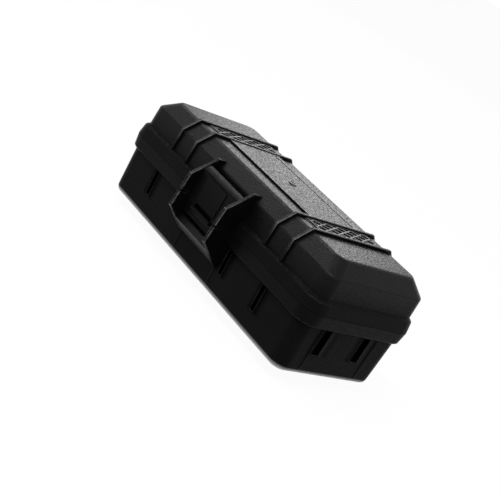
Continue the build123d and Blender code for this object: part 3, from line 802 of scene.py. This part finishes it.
# %% Finish the foams
def foam_finish(name, dark, light, cell, relief, sheen):
    """Pitted foam: cells of the given size for relief and shade, and slow noise for unevenness."""
    f = Finish(name)
    cells = f.pebbles(cell, smoothness=0.3)
    slow = f.noise(9 * MM)
    unevenness = f.product(f.spread(cells, 0.1, 0.7, 1.0, 0.2), slow)
    pits = f.bump(cells, relief, after=f.bump(f.noise(cell * 0.4), relief * 0.4))
    return f.use(Base_Color=f.shade(unevenness, dark, light), Roughness=0.95, Specular_IOR_Level=0.2,
                 Sheen_Weight=sheen, Sheen_Roughness=0.6, Normal=pits)


base_foam = foam_finish("base_foam", dark=(0.008, 0.008, 0.009), light=(0.03, 0.03, 0.032),
                        cell=0.5 * MM, relief=0.08 * MM, sheen=0.06)
lid_foam = foam_finish("lid_foam", dark=(0.014, 0.014, 0.016), light=(0.055, 0.055, 0.06),
                       cell=0.9 * MM, relief=0.16 * MM, sheen=0.1)
print("foams:", base_foam.name, lid_foam.name)

# %% [markdown]
# ## Hand out the finishes
# Each CAD node and each new piece gets one finish, in place of whatever it came with.

# %% Assign the materials
FINISH_OF = {
    "base_shell": shell_plastic, "lid_shell": shell_plastic, "gate_mark": shell_plastic,
    "latch_lever": latch_plastic, "rim_seal": seal_rubber,
    "tread_strip_left": tread_plastic, "tread_strip_right": tread_plastic,
    "tread_left": tread_plastic, "tread_right": tread_plastic,
    "hinge_pin_left": pin_steel, "hinge_pin_right": pin_steel, "latch_pin": pin_steel,
    "foam_floor": base_foam, "foam_tray": base_foam, "lid_foam": lid_foam,
    "foam_floor_pad": base_foam, "foam_tray_block": base_foam, "lid_foam_pad": lid_foam,
}
for name, finish in FINISH_OF.items():
    mesh = bpy.data.objects[name].data
    mesh.materials.clear()
    mesh.materials.append(finish)
print(len(FINISH_OF), "pieces finished")

# %% [markdown]
# ## The table
# A product table is white without end, and it shows in every glossy surface. The floor is a pale
# surface that still takes the object's shadow. To the camera, and to rays that come off gloss or
# through glass, most of it is replaced by plain white. The world does the same above the horizon.

# %% Lay the table
WHITE, PALE = (1, 1, 1, 1), (0.82, 0.82, 0.82, 1)
TABLE_WIDTH, WHITE_SHARE_OF_TABLE = 16.0, 0.95
SKY_LEVEL, WHITE_LEVEL = 0.55, 1.0


def white_to_the_eye(tree, lit, share):
    """Mix a lit surface with a share of plain white for camera, glossy and transmission rays."""
    path = add_node(tree, "LightPath").outputs
    seen = path["Is Camera Ray"]
    for ray in ("Is Glossy Ray", "Is Transmission Ray"):
        seen = add_node(tree, "Math", [(0, seen), (1, path[ray])], operation="MAXIMUM").outputs[0]
    part = add_node(tree, "Math", [(0, seen), (1, share)], operation="MULTIPLY").outputs[0]
    kind = "Background" if lit.type == "BACKGROUND" else "Emission"
    white = add_node(tree, kind, [("Color", WHITE), ("Strength", WHITE_LEVEL)])
    mix = add_node(tree, "MixShader", [(0, part), (1, lit.outputs[0]), (2, white.outputs[0])])
    return mix.outputs[0]


corners = np.array([(-1, -1, 0), (1, -1, 0), (1, 1, 0), (-1, 1, 0)]) * TABLE_WIDTH / 2
table = show_mesh("table", corners, [(0, 1, 2, 3)], smooth=False)
table_white = bpy.data.materials.new("table_white")
table_white.use_nodes = True
tree = table_white.node_tree
pale = add_node(tree, "BsdfDiffuse", [("Color", PALE)])
tree.links.new(white_to_the_eye(tree, pale, WHITE_SHARE_OF_TABLE),
               tree.nodes["Material Output"].inputs["Surface"])
table.data.materials.append(table_white)

world = bpy.data.worlds.new("world")
bpy.context.scene.world = world
world.use_nodes = True
tree = world.node_tree
sky = tree.nodes["Background"]
sky.inputs["Color"].default_value = WHITE
sky.inputs["Strength"].default_value = SKY_LEVEL
tree.links.new(white_to_the_eye(tree, sky, 1.0), tree.nodes["World Output"].inputs["Surface"])
print("table", TABLE_WIDTH, "m across")

# %% [markdown]
# ## The lamps
# Three soft lamps model the form. One far behind grazes the top, so that its grain shows. One on the
# left lights the lever's thumb edge and the slopes turned towards it. A long narrow one above draws a
# fine line along each rounded edge, as a strip light does in a studio.

# %% Hang the lamps
LAMPS_AIM_AT = Vector((0, 0, 40 * MM))


def soft_lamp(name, at, width, height, power):
    """An area lamp, width across and height up and down, aimed at the upper half of the case."""
    data = bpy.data.lights.new(name, "AREA")
    data.shape = "RECTANGLE"
    data.size, data.size_y = width, height
    data.energy = power
    lamp, at = put_in_scene(name, data), Vector(at)
    facing = (LAMPS_AIM_AT - at).to_track_quat("-Z", "Y").to_matrix().to_4x4()
    lamp.matrix_world = Matrix.Translation(at) @ facing
    print(name, power, "W")


soft_lamp("lamp_behind", (-1.05, 1.15, 0.52), 0.4, 0.4, 1.9)
soft_lamp("lamp_left", (-0.74, -0.05, 0.90), 0.4, 0.4, 3.0)
soft_lamp("lamp_above", (0.14, -0.50, 0.92), 0.9, 0.08, 9.0)
